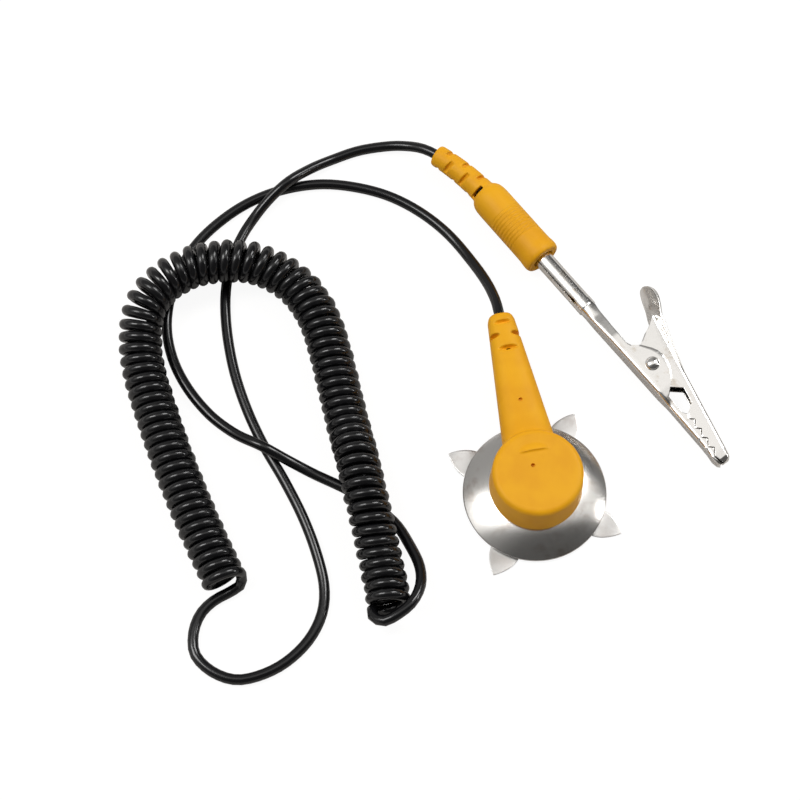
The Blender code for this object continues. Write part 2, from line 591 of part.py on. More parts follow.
def make_moving_jaw(frame):
    """Drawn about the rivet, so that the piece's origin is on the hinge's axis."""
    def place(points):
        return [(x - RIVET[0], y - RIVET[1]) for x, y in points]

    hinge = frame_empty("jaw_hinge", (*RIVET, 0), parent=frame)
    outline = [(59.3, -0.6)] + list(reversed(tooth_line(0.32)))
    outline += [(46.7, 0.9), (45.6, 2.85), (41.9, 3.7), (40.4, 2.1), (38.6, 0.3), (35.2, -0.5), (32.0, -0.2),
                (29.4, 1.6), (28.6, 3.4), (27.6, 5.1), (26.9, 6.8), (25.9, 8.4), (25.4, 9.2), (25.4, 9.66),
                (58.6, 1.6), (59.4, 1.2)]
    jaw = prism("clip_moving_jaw", place(outline), -JAW_HALF, JAW_HALF, NICKEL, hinge)
    combine(jaw, [thumb_plate(hinge)], "UNION")

    inner = JAW_HALF - JAW_SHEET
    hollow_outline = [(23.0, 9.78), (57.6, 1.35), (57.6, -4.0), (23.0, -4.0)]
    hollow = prism("moving_hollow", place(hollow_outline), -inner, inner, None, hinge)
    hole = rod_cutter("moving_rivet_hole", (0, 0, -5), (0, 0, 5), 1.3, hinge, 20)
    combine(jaw, [hollow, hole], "DIFFERENCE")


def make_clip_group(plug_frame):
    frame = frame_empty("clip_frame", (0, 0, 0), (math.radians(CLIP_ROLL_DEG), 0, 0), plug_frame)
    make_fixed_jaw(frame)
    make_moving_jaw(frame)
    head_low = CHEEK_HALF + GAP
    turned("clip_rivet",
           [(0, head_low + 0.7), (0.8, head_low + 0.6), (1.4, head_low + 0.3), (1.55, head_low),
            (0.95, head_low), (0.95, -head_low), (1.55, -head_low), (1.4, -head_low - 0.3),
            (0.8, -head_low - 0.6), (0, -head_low - 0.7)],
           NICKEL, frame, location=(*RIVET, 0), steps=20)
    coil_radius, wire, turns, per_turn = 1.55, 0.22, 3, 12
    half_length = 0.85
    first, last = math.radians(205), math.radians(118)
    sweep = last - first + 2 * math.pi * turns
    points = [(-8.0, -2.45, -half_length), (-3.0, -2.0, -half_length)]
    count = turns * per_turn
    for i in range(count + 1):
        angle = first + sweep * i / count
        points.append((coil_radius * math.cos(angle), coil_radius * math.sin(angle),
                       half_length * (2 * i / count - 1)))
    points += [(-3.4, 3.8, half_length), (-6.6, 6.0, half_length)]
    spring = tube("clip_spring", points, wire, SPRING, frame)
    spring.location = Vector((*RIVET, 0)) * MM


make_disc_group()
head_core = make_head_group()
make_cord(head_core)
plug_frame = make_plug_group()
make_clip_group(plug_frame)
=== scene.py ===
import json
import math

import bmesh
import bpy
from mathutils import Matrix, Vector


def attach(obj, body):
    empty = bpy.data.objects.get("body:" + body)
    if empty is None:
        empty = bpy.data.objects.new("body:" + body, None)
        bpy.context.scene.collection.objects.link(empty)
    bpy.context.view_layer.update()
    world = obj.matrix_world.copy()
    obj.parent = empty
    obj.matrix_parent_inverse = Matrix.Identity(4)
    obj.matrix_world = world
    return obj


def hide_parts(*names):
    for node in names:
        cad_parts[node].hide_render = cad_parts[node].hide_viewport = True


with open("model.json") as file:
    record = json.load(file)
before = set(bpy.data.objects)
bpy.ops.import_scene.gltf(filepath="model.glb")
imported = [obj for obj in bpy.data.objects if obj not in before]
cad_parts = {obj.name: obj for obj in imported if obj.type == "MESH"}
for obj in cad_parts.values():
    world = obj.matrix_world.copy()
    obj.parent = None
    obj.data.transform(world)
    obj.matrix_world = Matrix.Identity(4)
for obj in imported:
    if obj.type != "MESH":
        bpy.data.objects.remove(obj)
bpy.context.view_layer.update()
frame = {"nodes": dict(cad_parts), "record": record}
scene = bpy.context.scene
scene.view_settings.view_transform = "Standard"
mm = 0.001
joints = {joint["name"]: joint for joint in frame["record"]["behaviour"]["joints"]}
snapAxis = joints["snap_swivel"]["pos_m"]
rootFrame = Matrix.Translation((snapAxis[0], snapAxis[1], 0))  # the snap's axis on the table
print("frame loaded:", len(frame["nodes"]), "nodes")

# All lengths below are millimetres from the snap's axis, turned into metres where a piece is made.

# Camera

cameraSetup = {"place": (-28.08, -151.14, 426.5), "tilt": 22.0, "lens": 97.3, "sensor": 36.0}

cameraData = bpy.data.cameras.new("camera")
cameraData.lens = cameraSetup["lens"]
cameraData.sensor_width = cameraSetup["sensor"]
cameraData.clip_start = 0.01
camera = bpy.data.objects.new("camera", cameraData)
scene.collection.objects.link(camera)
camera.location = rootFrame @ (Vector(cameraSetup["place"]) * mm)
camera.rotation_euler = (math.radians(cameraSetup["tilt"]), 0, 0)
scene.camera = camera


# Shader helpers

class Wire:  # one output socket, which can stand in a sum
    def __init__(self, graph, socket):
        self.graph = graph
        self.socket = socket

    def maths(self, operation, *terms):
        return self.graph.node("ShaderNodeMath", {"operation": operation}, dict(enumerate(terms)))

    def __add__(self, other):
        return self.maths("ADD", self, other)

    def __radd__(self, other):
        return self.maths("ADD", other, self)

    def __sub__(self, other):
        return self.maths("SUBTRACT", self, other)

    def __rsub__(self, other):
        return self.maths("SUBTRACT", other, self)

    def __mul__(self, other):
        return self.maths("MULTIPLY", self, other)

    def __rmul__(self, other):
        return self.maths("MULTIPLY", other, self)

    def __truediv__(self, other):
        return self.maths("DIVIDE", self, other)

    def __pow__(self, other):
        return self.maths("POWER", self, other)


class Graph:  # the nodes of a material or of the world
    def __init__(self, tree):
        self.tree = tree

    def feed(self, socket, value):
        if isinstance(value, Wire):
            self.tree.links.new(value.socket, socket)
        else:
            socket.default_value = value

    def node(self, kind, settings=None, values=None, output=0):
        made = self.tree.nodes.new(kind)
        for key, value in (settings or {}).items():
            if key == "stops":
                stops = made.color_ramp.elements
                stops.remove(stops[1])
                stops[0].position, stops[0].color = value[0][0], (*value[0][1], 1.0)
                for position, colour in value[1:]:
                    stops.new(position).color = (*colour, 1.0)
            else:
                setattr(made, key, value)
        for key, value in (values or {}).items():
            self.feed(made.inputs[key], value)
        return Wire(self, made.outputs[output])

    def blend(self, factor, first, second):  # two colours
        colours = [c if isinstance(c, Wire) else (*c, 1.0) for c in (first, second)]
        return self.node("ShaderNodeMix", {"data_type": "RGBA"}, {0: factor, 6: colours[0], 7: colours[1]},
                         output=2)

    def noise(self, vector, scale, detail=3.0, roughness=0.5):
        return self.node("ShaderNodeTexNoise", {}, {"Vector": vector, "Scale": scale, "Detail": detail,
                                                    "Roughness": roughness})

    def smoothStep(self, value, low, high, toLow=0.0, toHigh=1.0):
        return self.node("ShaderNodeMapRange", {"interpolation_type": "SMOOTHSTEP"},
                         {"Value": value, "From Min": low, "From Max": high, "To Min": toLow,
                          "To Max": toHigh})

    def axes(self, vector):
        parts = self.node("ShaderNodeSeparateXYZ", {}, {0: vector})
        return [Wire(self, socket) for socket in parts.socket.node.outputs]


class Finish(Graph):  # a material with one Principled surface
    def __init__(self, name, constants):
        self.material = bpy.data.materials.new(name)
        self.material.use_nodes = True
        super().__init__(self.material.node_tree)
        self.surface = self.tree.nodes["Principled BSDF"]
        for key, value in constants.items():
            self.surface.inputs[key].default_value = value
        self.place = self.node("ShaderNodeTexCoord", output=3)  # object coordinates, in metres

    def varies(self, key, value):
        self.feed(self.surface.inputs[key], value)

    def relief(self, height, distance, strength=1.0):
        bump = self.node("ShaderNodeBump", {}, {"Height": height, "Distance": distance, "Strength": strength})
        self.varies("Normal", bump)


# Finishes

yellowLook = {"lit": (0.82, 0.39, 0.005), "deep": (0.77, 0.345, 0.004), "roughness": 0.5, "grain": 5200.0}
cordLook = {"body": (0.0045, 0.0045, 0.0052), "dust": (0.012, 0.012, 0.013), "roughness": 0.2}
nickelLook = {"clean": (0.84, 0.825, 0.80), "warm": (0.66, 0.60, 0.52), "roughness": 0.13}
steelLook = {"clean": (0.74, 0.725, 0.70), "warm": (0.58, 0.53, 0.49), "roughness": 0.2}
satinLook = {"clean": (0.58, 0.57, 0.555), "warm": (0.47, 0.44, 0.42), "roughness": 0.2}
brassLook = {"clean": (0.80, 0.60, 0.28), "dull": (0.55, 0.38, 0.16), "roughness": 0.25}
springLook = {"clean": (0.50, 0.50, 0.51), "dull": (0.30, 0.29, 0.28), "roughness": 0.3}
tinLook = {"clean": (0.72, 0.71, 0.69), "dull": (0.50, 0.49, 0.47), "roughness": 0.32}
lacquerLook = {"body": (0.30, 0.46, 0.56), "band": (0.35, 0.20, 0.10), "roughness": 0.35}


def mouldedYellow(name, ringsFrom=None, ringsTo=None):
    look = yellowLook
    made = Finish(name, {"IOR": 1.45, "Specular IOR Level": 0.3})
    cloudy = made.noise(made.place, 140.0, 4.0)
    made.varies("Base Color", made.blend(made.smoothStep(cloudy, 0.35, 0.65), look["deep"], look["lit"]))
    wiped = made.noise(made.place, 420.0, 3.0)
    made.varies("Roughness", look["roughness"] - 0.06 + 0.12 * wiped)
    grain = made.noise(made.place, look["grain"], 2.0, 0.6)
    flow = made.noise(made.place, 900.0, 2.0)
    height = 0.012 * grain + 0.02 * flow
    if ringsFrom is not None:  # fine turned rings round the body
        along = made.axes(made.place)[0] / mm
        within = made.smoothStep(along, ringsFrom - 0.4, ringsFrom) * made.smoothStep(along, ringsTo, ringsTo + 0.4,
                                                                                      1.0, 0.0)
        wave = made.node("ShaderNodeMath", {"operation": "SINE"}, {0: along * (2 * math.pi / 0.85)})
        height = height + within * (wave * 0.055)
    made.relief(height, mm)
    return made.material


def glossyBlack(name):
    look = cordLook
    made = Finish(name, {"IOR": 1.42, "Specular IOR Level": 0.55, "Coat Roughness": 0.1})
    specks = made.noise(made.place, 1500.0, 4.0, 0.7)
    made.varies("Base Color", made.blend(made.smoothStep(specks, 0.6, 0.75), look["body"], look["dust"]))
    handled = made.noise(made.place, 260.0, 3.0)
    made.varies("Roughness", look["roughness"] - 0.03 + 0.1 * made.smoothStep(handled, 0.4, 0.7))
    made.varies("Coat Weight", made.smoothStep(handled, 0.3, 0.7, 0.2, 0.08))
    made.relief(0.012 * made.noise(made.place, 800.0, 2.0), mm)
    return made.material


def platedMetal(name, look, relief=0.006, warmth=(0.55, 0.75)):
    made = Finish(name, {"Metallic": 1.0})
    stains = made.noise(made.place, 310.0, 5.0, 0.6)
    dull = look.get("warm", look.get("dull"))
    made.varies("Base Color", made.blend(made.smoothStep(stains, *warmth), look["clean"], dull))
    smudges = made.noise(made.place, 650.0, 4.0, 0.6)
    made.varies("Roughness", look["roughness"] - 0.04 + 0.13 * smudges)
    made.relief(relief * made.noise(made.place, 1300.0, 3.0), mm)
    return made.material


def spunSteel(name, look, satinFrom=None):
    made = Finish(name, {"Metallic": 1.0})
    x, y, z = made.axes(made.place)
    radius = (x * x + y * y) ** 0.5 / mm
    turning = made.node("ShaderNodeCombineXYZ", {}, {0: radius * 6.0, 1: z * 200.0, 2: x * 14.0})
    lines = made.noise(turning, 3.0, 4.0, 0.65)
    stains = made.noise(made.place, 190.0, 4.0, 0.6)
    made.varies("Base Color", made.blend(made.smoothStep(stains, 0.5, 0.75), look["clean"], look["warm"]))
    rough = look["roughness"] - 0.05 + 0.12 * lines
    if satinFrom is not None:
        rough = rough + made.smoothStep(radius, satinFrom - 0.2, satinFrom + 0.2, 0.0, 0.16)
    made.varies("Roughness", rough)
    made.relief(0.004 * lines, mm)
    return made.material


def bandedLacquer(name):
    look = lacquerLook
    made = Finish(name, {"Coat Weight": 0.4})
    along = made.axes(made.place)[1] / mm
    wave = made.node("ShaderNodeMath", {"operation": "SINE"}, {0: along * 4.2})
    made.varies("Base Color", made.blend(made.smoothStep(wave, 0.7, 0.85), look["body"], look["band"]))
    made.varies("Roughness", look["roughness"] + 0.1 * made.noise(made.place, 900.0))
    made.relief(0.01 * made.noise(made.place, 1500.0), mm)
    return made.material


yellowHead = mouldedYellow("yellow_head")
yellowPlug = mouldedYellow("yellow_plug", -13.0, -6.2)
blackCord = glossyBlack("black_cord")
nickel = platedMetal("bright_nickel", nickelLook)
discSteel = spunSteel("spun_steel", steelLook)
clawSteel = spunSteel("satin_steel", satinLook, 14.4)
brass = platedMetal("brass", brassLook)
springSteel = platedMetal("spring_steel", springLook)
tinned = platedMetal("tinned_copper", tinLook)
lacquer = bandedLacquer("resistor_lacquer")
print("finishes made")


# Mesh helpers

def smoothPath(route, step):  # evenly spaced points on the Catmull-Rom curve through the route
    points = [Vector(p) for p in route]
    ends = [2 * points[0] - points[1]] + points + [2 * points[-1] - points[-2]]
    fine = []
    for a, b, c, d in zip(ends, ends[1:], ends[2:], ends[3:]):
        for k in range(12):
            t = k / 12
            fine.append(0.5 * (2 * b + (c - a) * t + (2 * a - 5 * b + 4 * c - d) * t * t
                               + (3 * b - a - 3 * c + d) * t ** 3))
    fine.append(points[-1])
    lengths = [0.0]
    for a, b in zip(fine, fine[1:]):
        lengths.append(lengths[-1] + (b - a).length)
    count = max(2, round(lengths[-1] / step))
    result, at = [], 0
    for i in range(count + 1):
        wanted = lengths[-1] * i / count
        while at < len(fine) - 2 and lengths[at + 1] < wanted:
            at += 1
        share = (wanted - lengths[at]) / (lengths[at + 1] - lengths[at])
        result.append(fine[at].lerp(fine[at + 1], share))
    return result


def between(stops, at):  # the value at a place on a list of (place, value) stops
    if at <= stops[0][0]:
        return stops[0][1]
    for (a, first), (b, second) in zip(stops, stops[1:]):
        if at <= b:
            return first + (second - first) * (at - a) / (b - a)
    return stops[-1][1]


def eased(t):
    t = min(1.0, max(0.0, t))
    return t * t * (3 - 2 * t)


def newPiece(name, data, finish, place=None):
    made = bpy.data.objects.new(name, data)
    scene.collection.objects.link(made)
    made.matrix_world = rootFrame @ (place or Matrix())
    if finish:
        data.materials.append(finish)
    return made


def meshFrom(name, points, faces):
    mesh = bpy.data.meshes.new(name)
    mesh.from_pydata([Vector(p) * mm for p in points], [], faces)
    shape = bmesh.new()
    shape.from_mesh(mesh)
    bmesh.ops.remove_doubles(shape, verts=shape.verts, dist=1e-7)
    bmesh.ops.recalc_face_normals(shape, faces=shape.faces)
    shape.to_mesh(mesh)
    shape.free()
    return mesh


def softened(mesh, angle=32):
    mesh.shade_smooth()
    mesh.set_sharp_from_angle(angle=math.radians(angle))
    return mesh


def filleted(profile, radius, closed, steps=4):  # rounds the corners of a profile
    if radius <= 0:
        return [Vector(p) for p in profile]
    points = [Vector(p) for p in profile]
    count = len(points)
    result = []
    for i, point in enumerate(points):
        if not closed and i in (0, count - 1):
            result.append(point)
            continue
        before, after = points[i - 1], points[(i + 1) % count]
        reach = min(radius, 0.45 * (before - point).length, 0.45 * (after - point).length)
        first = point + (before - point).normalized() * reach
        last = point + (after - point).normalized() * reach
        for k in range(steps + 1):
            t = k / steps
            result.append((1 - t) ** 2 * first + 2 * t * (1 - t) * point + t * t * last)
    return result


def turnedMesh(name, profile, fillet=0.12, steps=96):  # (radius, height) points about local Z
    closed = profile[0][0] > 0 or profile[-1][0] > 0
    line = filleted(profile, fillet, closed)
    shape = bmesh.new()
    corners = [shape.verts.new((p[0] * mm, 0.0, p[1] * mm)) for p in line]
    edges = [shape.edges.new(pair) for pair in zip(corners, corners[1:])]
    if closed:
        edges.append(shape.edges.new((corners[-1], corners[0])))
    bmesh.ops.spin(shape, geom=corners + edges, axis=(0, 0, 1), cent=(0, 0, 0), steps=steps,
                   angle=2 * math.pi, use_duplicate=False)
    bmesh.ops.remove_doubles(shape, verts=shape.verts, dist=1e-6)
    bmesh.ops.recalc_face_normals(shape, faces=shape.faces)
    mesh = bpy.data.meshes.new(name)
    shape.to_mesh(mesh)
    shape.free()
    return softened(mesh)


def ringMesh(name, rings):  # a closed skin over rings of points, one after the other
    count = len(rings[0])
    points = [p for ring in rings for p in ring]
    faces = []
    for i in range(len(rings) - 1):
        for k in range(count):
            n = (k + 1) % count
            faces.append((i * count + k, i * count + n, (i + 1) * count + n, (i + 1) * count + k))
    faces.append(tuple(range(count)))
    faces.append(tuple(range((len(rings) - 1) * count, len(rings) * count)))
    return meshFrom(name, points, faces)


def tubeRings(points, radii, sides=48):
    rings = []
    for i, point in enumerate(points):
        along = (points[min(i + 1, len(points) - 1)] - points[max(i - 1, 0)]).normalized()
        side = along.cross(Vector((0, 0, 1))).normalized()
        up = side.cross(along)
        rings.append([point + radii[i] * (side * math.cos(a) + up * math.sin(a))
                      for a in (2 * math.pi * k / sides for k in range(sides))])
    return rings


def boxMesh(name, low, high):
    shape = bmesh.new()
    bmesh.ops.create_cube(shape, size=mm)
    size = [b - a for a, b in zip(low, high)]
    middle = [(a + b) / 2 * mm for a, b in zip(low, high)]
    shape.transform(Matrix.Translation(middle) @ Matrix.Diagonal((*size, 1.0)))
    mesh = bpy.data.meshes.new(name)
    shape.to_mesh(mesh)
    shape.free()
    return mesh


def frozen(piece, angle=32):  # swaps the modifiers for their result
    bpy.context.view_layer.update()
    graph = bpy.context.evaluated_depsgraph_get()
    mesh = bpy.data.meshes.new_from_object(piece.evaluated_get(graph))
    piece.modifiers.clear()
    piece.data = softened(mesh, angle)
    return piece


def carved(piece, joins=(), cuts=(), voxel=None, smoothing=4, angle=60):
    for operation, others in (("UNION", joins), ("DIFFERENCE", cuts)):
        for other in others:
            step = piece.modifiers.new(other.name, "BOOLEAN")
            step.operation, step.solver, step.object = operation, "EXACT", other
    if voxel:
        skin = piece.modifiers.new("skin", "REMESH")
        skin.mode, skin.voxel_size, skin.use_smooth_shade = "VOXEL", voxel * mm, True
        rub = piece.modifiers.new("rub", "SMOOTH")
        rub.factor, rub.iterations = 0.5, smoothing
    frozen(piece, angle)
    for other in [*joins, *cuts]:
        bpy.data.objects.remove(other, do_unlink=True)
    return piece


def sheetPiece(name, rows, thickness, finish, place, bevel=0.07):  # bent sheet metal on a grid
    columns = len(rows[0])
    faces = [(i * columns + k, i * columns + k + 1, (i + 1) * columns + k + 1, (i + 1) * columns + k)
             for i in range(len(rows) - 1) for k in range(columns - 1)]
    made = newPiece(name, meshFrom(name, [p for row in rows for p in row], faces), finish, place)
    solid = made.modifiers.new("thickness", "SOLIDIFY")
    solid.thickness, solid.offset, solid.use_even_offset = thickness * mm, 0.0, True
    edge = made.modifiers.new("edge", "BEVEL")
    edge.width, edge.segments, edge.limit_method = bevel * mm, 2, "ANGLE"
    edge.angle_limit = math.radians(50)
    return frozen(made, 40)


def merged(name, pieces, finish, place):  # one object of several overlapping shells
    shape = bmesh.new()
    for piece in pieces:
        mesh = piece.data
        mesh.transform((rootFrame @ place).inverted() @ piece.matrix_world)
        shape.from_mesh(mesh)
        bpy.data.objects.remove(piece, do_unlink=True)
    mesh = bpy.data.meshes.new(name)
    shape.to_mesh(mesh)
    shape.free()
    return newPiece(name, softened(mesh, 24), finish, place)


def standsFor(piece, body, slotName, *nodes):
    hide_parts(*nodes)
    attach(piece, body)
    return piece


def turnAbout(axis, degrees):
    return Matrix.Rotation(math.radians(degrees), 4, axis)


def shift(x, y, z):
    return Matrix.Translation(Vector((x, y, z)) * mm)


headFrame = turnAbout("Z", 100.5)
coreFrame = headFrame @ shift(8.0, 0, 9.0) @ turnAbout("Y", math.degrees(math.atan2(1.6, 32.0)))
plugFrame = shift(2.95, 52.35, 4.2) @ turnAbout("Z", -52.0)
clipFrame = plugFrame @ turnAbout("X", 6.0)
alongX = turnAbout("Y", 90.0)

# Cord: both tails and the curly part are one line

cordShape = {"radius": 1.13, "coilRadius": 3.52, "turns": 73, "perTurn": 24, "step": 1.6,
             "length": 2.05, "bend": 0.0092, "bendStart": -18.0}
headTail = [
    (-7.8, 41.9, 6.3), (-9.5, 47.0, 4.1), (-12.6, 53.0, 2.0), (-17.3, 59.6, 1.06), (-23.7, 65.3, 1.06),
    (-31.0, 69.4, 1.06), (-39.0, 71.6, 1.06), (-46.5, 72.1, 1.06), (-54.5, 70.6, 1.06),
    (-61.5, 67.5, 1.06), (-67.5, 63.0, 1.06), (-72.5, 57.5, 1.06), (-76.0, 51.0, 1.06),
    (-77.9, 44.0, 1.06), (-78.2, 37.0, 1.06), (-76.6, 30.0, 1.06), (-73.3, 23.5, 1.06),
    (-68.5, 17.5, 1.1), (-62.8, 12.7, 2.1), (-57.0, 9.2, 4.05), (-51.2, 6.5, 2.1), (-45.5, 3.7, 1.1),
    (-39.0, 0.5, 1.06), (-33.5, -3.0, 1.06), (-29.0, -7.0, 1.3), (-26.1, -12.0, 2.4),
    (-24.1, -17.0, 4.1), (-23.9, -21.6, 5.9), (-25.6, -25.6, 7.0), (-28.6, -28.2, 7.0),
    (-31.4, -29.4, 6.4), (-33.5, -28.1, 5.4),
]
plugTail = [
    (-22.9, 79.6, 3.7), (-26.0, 80.9, 2.5), (-30.5, 81.5, 1.5), (-37.0, 80.6, 1.1),
    (-43.3, 78.1, 1.3), (-48.0, 75.1, 2.65), (-52.6, 71.2, 4.2), (-56.8, 67.6, 2.75),
    (-60.3, 63.5, 1.2), (-63.0, 58.5, 1.06), (-65.0, 52.5, 1.06), (-65.8, 46.0, 1.06),
    (-65.6, 39.5, 1.06), (-64.6, 32.5, 1.06), (-62.9, 25.4, 1.06), (-60.2, 17.8, 1.06),
    (-56.7, 10.3, 1.06), (-52.3, 2.6, 1.06), (-48.3, -5.4, 1.06), (-45.3, -13.4, 1.06),
    (-43.6, -20.8, 1.06), (-44.2, -27.0, 1.06), (-47.4, -32.9, 1.06), (-53.0, -37.7, 1.06),
    (-60.0, -40.1, 1.06), (-65.4, -38.8, 1.06), (-69.4, -35.2, 1.06), (-70.1, -30.8, 1.06),
    (-68.9, -26.6, 1.06), (-66.2, -23.6, 1.06), (-62.8, -21.7, 1.35), (-60.6, -20.5, 2.6),
]
coilAxis = [
    (-30.2, -26.0, 4.8), (-30.9, -21.6, 4.8), (-32.0, -16.4, 4.9), (-33.8, -8.3, 6.7), (-35.4, -1.7, 7.35),
    (-36.9, 5.1, 6.95), (-38.6, 12.0, 5.3), (-40.3, 19.2, 4.8), (-42.9, 30.2, 4.8), (-45.6, 38.5, 4.8),
    (-49.8, 45.0, 4.9), (-55.0, 48.6, 5.9), (-60.5, 50.2, 7.05), (-67.0, 50.2, 7.35), (-73.5, 48.6, 7.35),
    (-79.0, 44.8, 7.35), (-82.3, 39.7, 7.15), (-83.2, 33.5, 5.9), (-82.5, 27.0, 4.9), (-80.2, 19.2, 4.8),
    (-75.4, 5.8, 4.8), (-69.9, -7.4, 4.8), (-65.0, -17.9, 4.8), (-63.6, -20.6, 4.8),
]


def plugLine(x):  # the plug's middle line: straight, then a shallow bend
    drop = -cordShape["bend"] * min(0.0, x - cordShape["bendStart"]) ** 2
    return Vector((x, drop, 0.0))


def coilPoints():
    axis = smoothPath(coilAxis, 0.5)
    radius = cordShape["coilRadius"]
    reach = 8
    pitches = []
    for i in range(len(axis) - 1):  # the turns stand wider apart where the coil bends
        a, b, c = (axis[min(max(k, 0), len(axis) - 1)] for k in (i - reach, i, i + reach))
        turn = (b - a).angle(c - b, 0.0) if (b - a).length and (c - b).length else 0.0
        curve = turn / max(1e-6, (c - a).length / 2)
        pitches.append(1 / max(0.2, 1 - 0.55 * radius * curve))
    steps = [(b - a).length / pitch for a, b, pitch in zip(axis, axis[1:], pitches)]
    sweep = 2 * math.pi * cordShape["turns"] / sum(steps)
    phases = [math.pi]
    for step in steps:
        phases.append(phases[-1] + step * sweep)
    count = cordShape["turns"] * cordShape["perTurn"]
    result, at = [], 0
    for i in range(count + 1):
        phase = math.pi + 2 * math.pi * i / cordShape["perTurn"]
        while at < len(phases) - 2 and phases[at + 1] < phase:
            at += 1
        share = min(1.0, (phase - phases[at]) / (phases[at + 1] - phases[at]))
        middle = axis[at].lerp(axis[at + 1], share)
        along = (axis[min(at + 5, len(axis) - 1)] - axis[max(at - 4, 0)]).normalized()
        side = along.cross(Vector((0, 0, 1))).normalized()
        up = side.cross(along)
        loose = 1 + 0.012 * math.sin(i * 0.37) + 0.01 * math.sin(i * 0.113)
        result.append(middle + radius * loose * (side * math.cos(phase) + up * math.sin(phase)))
    return result


def makeCord():
    core = [(coreFrame @ (Vector((x, 0, 0)) * mm)) / mm for x in (21.9, 26.5, 31.2)]
    inPlug = [(plugFrame @ (plugLine(x) * mm)) / mm for x in (-34.3, -30.2, -26.0, -21.8)]
    coil = coilPoints()
    first = smoothPath([*core, *headTail, coil[0]], cordShape["step"])
    last = smoothPath([coil[-1], *reversed(plugTail), *inPlug], cordShape["step"])
    line = first[:-1] + coil + last[1:]
    curve = bpy.data.curves.new("cord", "CURVE")
    curve.dimensions = "3D"
    curve.bevel_depth = cordShape["radius"] * mm
    curve.bevel_resolution = 6
    curve.use_fill_caps = True
    spline = curve.splines.new("POLY")
    spline.points.add(len(line) - 1)
    for point, place in zip(spline.points, line):
        place.z = max(place.z, cordShape["radius"] + 0.01)
        point.co = (*(place * mm), 1.0)
    spline.use_smooth = True
    long = sum((b - a).length for a, b in zip(line, line[1:]))
    made = newPiece("cord", curve, blackCord)
    print("cord made, length", round(long), "mm")
    return standsFor(made, "lead", "black_pu", "cord_tail_head", "curly_cord", "cord_tail_plug")


cord = makeCord()

# Moulded head with its handle

headShape = {"radius": 9.7, "base": 5.0, "top": 13.8, "handleEnd": 38.0, "voxel": 0.2, "bore": 1.33}


slotLens = [(0, 0.55), (2.3, 0.5), (3.1, 0.15), (3.1, -0.15), (2.3, -0.5), (0, -0.55)]


def handleRing(distance, shrink, sides=72):
    along = (distance - 8.0) / 32.0
    middle = 9.0 - 1.6 * along
    wide, high = 5.5 - 2.9 * along, 3.7 - 1.1 * along
    lift = 1.0 * (max(0.0, 14.0 - distance) / 8.0) ** 2  # the back rises into the head's flat top
    ring = []
    for k in range(sides):
        angle = 2 * math.pi * k / sides
        c, s = math.cos(angle), math.sin(angle)
        ring.append((distance, math.copysign(abs(c) ** 0.8, c) * wide * shrink,
                     math.copysign(abs(s) ** 0.8, s) * (high + lift * (s > 0)) * shrink + middle))
    return ring


def makeHead():
    top, base, radius = headShape["top"], headShape["base"], headShape["radius"]
    edge = [(8.15 + 1.25 * math.sin(a), top - 1.25 + 1.25 * math.cos(a))
            for a in (math.radians(9 * k) for k in range(10))]
    profile = [(0, top + 0.0), (4.0, top + 0.0), *edge, (radius, base + 0.5), (radius - 0.3, base), (0, base)]
    head = newPiece("head_mould", turnedMesh("head_mould", profile, 0.15), yellowHead, headFrame)
    stations = [(4.6 + 0.8 * k, 1.0) for k in range(12)] + [(14.0 + 1.5 * k, 1.0) for k in range(15)]
    stations += [(36.4, 1.0), (37.0, 0.96), (37.5, 0.9), (37.8, 0.8), (headShape["handleEnd"], 0.66)]
    handle = newPiece("handle", ringMesh("handle", [handleRing(*s) for s in stations]), None, headFrame)
    cuts = [newPiece("snap_recess", turnedMesh("snap_recess", [(0, 9.55), (7.2, 9.55), (7.2, 3.0), (0, 3.0)], 0),
                     None, headFrame),
            newPiece("tab_slot", boxMesh("tab_slot", (-3.2, -2.7, 9.2), (10.6, 2.7, 10.8)), None, headFrame)]
    for name, low, high, wide in (("core_pocket", -2.0, 21.6, 1.75), ("cord_bore", 20.0, 34.0, headShape["bore"])):
        rod = turnedMesh(name, [(0, high), (wide, high), (wide, low), (0, low)], 0, 40)
        cuts.append(newPiece(name, rod, None, coreFrame @ alongX))
    for i, station in enumerate((27.4, 24.6, 21.2)):
        for side in (-1, 1):
            lens = turnedMesh("relief_slot", slotLens, 0, 48)
            turn = turnAbout("X", 62 if i == 1 else 0) if side > 0 else turnAbout("X", -62 if i == 1 else 180)
            place = coreFrame @ shift(station, 0, 0) @ turn @ shift(0, 0, 1.75 + slotLens[2][0]) @ alongX
            cuts.append(newPiece("relief_slot", lens, None, place))
    carved(head, [handle], cuts, headShape["voxel"], 3)
    holes = []
    for x, y, bottom in ((1.45, 0.75, top - 0.7), (16.8, 0.1, 11.4)):
        pin = turnedMesh("pinhole", [(0, bottom + 2.4), (0.5, bottom + 2.4), (0.42, bottom), (0, bottom)], 0, 24)
        holes.append(newPiece("pinhole", pin, None, headFrame @ shift(x, y, 0)))
    carved(head, [], holes, None, 0, 50)
    return standsFor(head, "lead", "yellow_pvc", "head_overmould")


head = makeHead()
print("head made:", len(head.data.polygons), "faces")

# Plug mould

plugShape = {"voxel": 0.17, "bore": 1.33}


